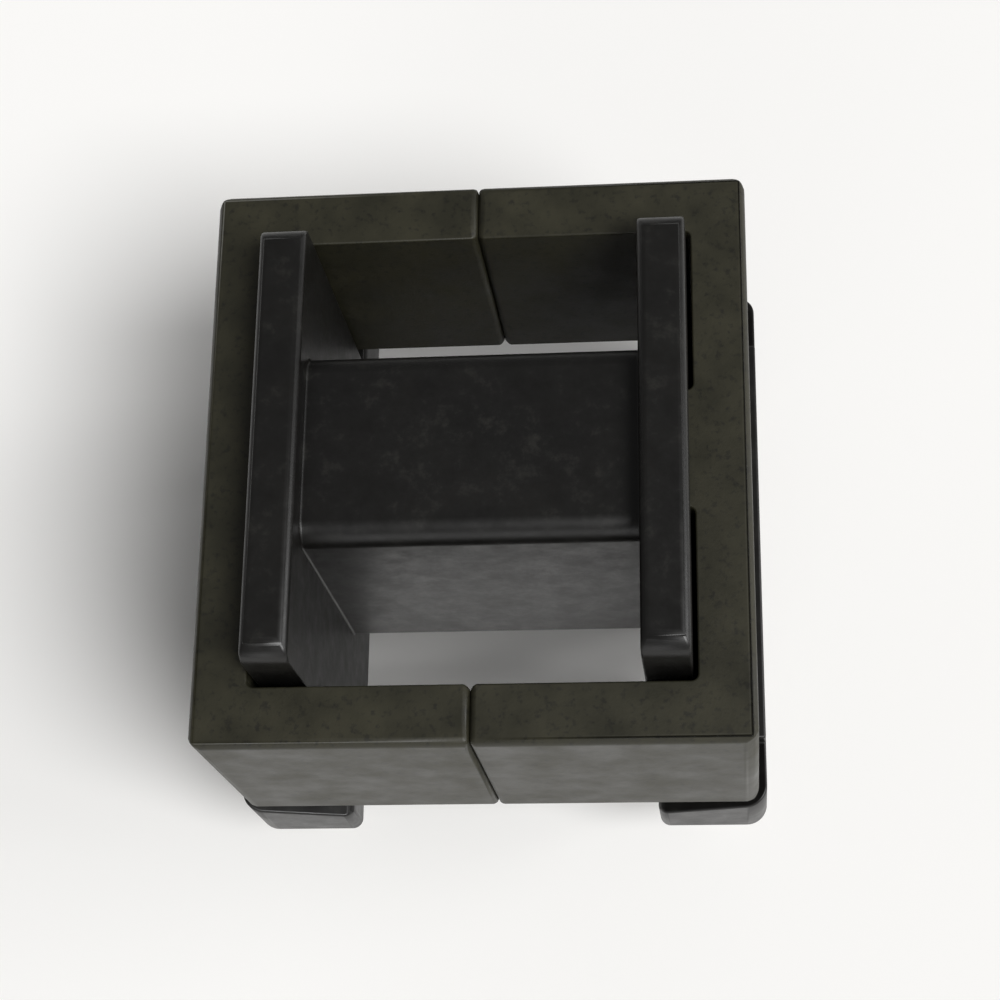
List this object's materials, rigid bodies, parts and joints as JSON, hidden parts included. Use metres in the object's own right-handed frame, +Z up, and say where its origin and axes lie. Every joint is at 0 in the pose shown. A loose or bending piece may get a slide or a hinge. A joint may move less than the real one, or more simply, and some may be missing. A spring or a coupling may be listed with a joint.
{
  "type": "ferrite e core pair on a coil former",
  "caption": "E-shaped ferrite core closed round an unwound horizontal coil former, with pins below for a circuit board.",
  "frame": {"origin": "centre of the bounding box at the height of the pin tips", "axes": "+X along the centre leg towards the right core half, +Y across the legs, +Z up from the pins to the open top of the winding space"},
  "size_m": [0.0126, 0.0132, 0.0137],
  "materials": {
    "ferrite": "sintered, satin dark olive grey",
    "former": "moulded, semi-gloss black phenolic",
    "pin": "tinned, satin"
  },
  "bodies": {
    "root": {"core_half_left": "ferrite", "core_half_right": "ferrite", "coil_former": "former", "pin_1": "pin", "pin_2": "pin", "pin_3": "pin", "pin_4": "pin", "pin_5": "pin", "pin_6": "pin", "pin_7": "pin", "pin_8": "pin", "pin_9": "pin", "pin_10": "pin"}
  },
  "joints": []
}
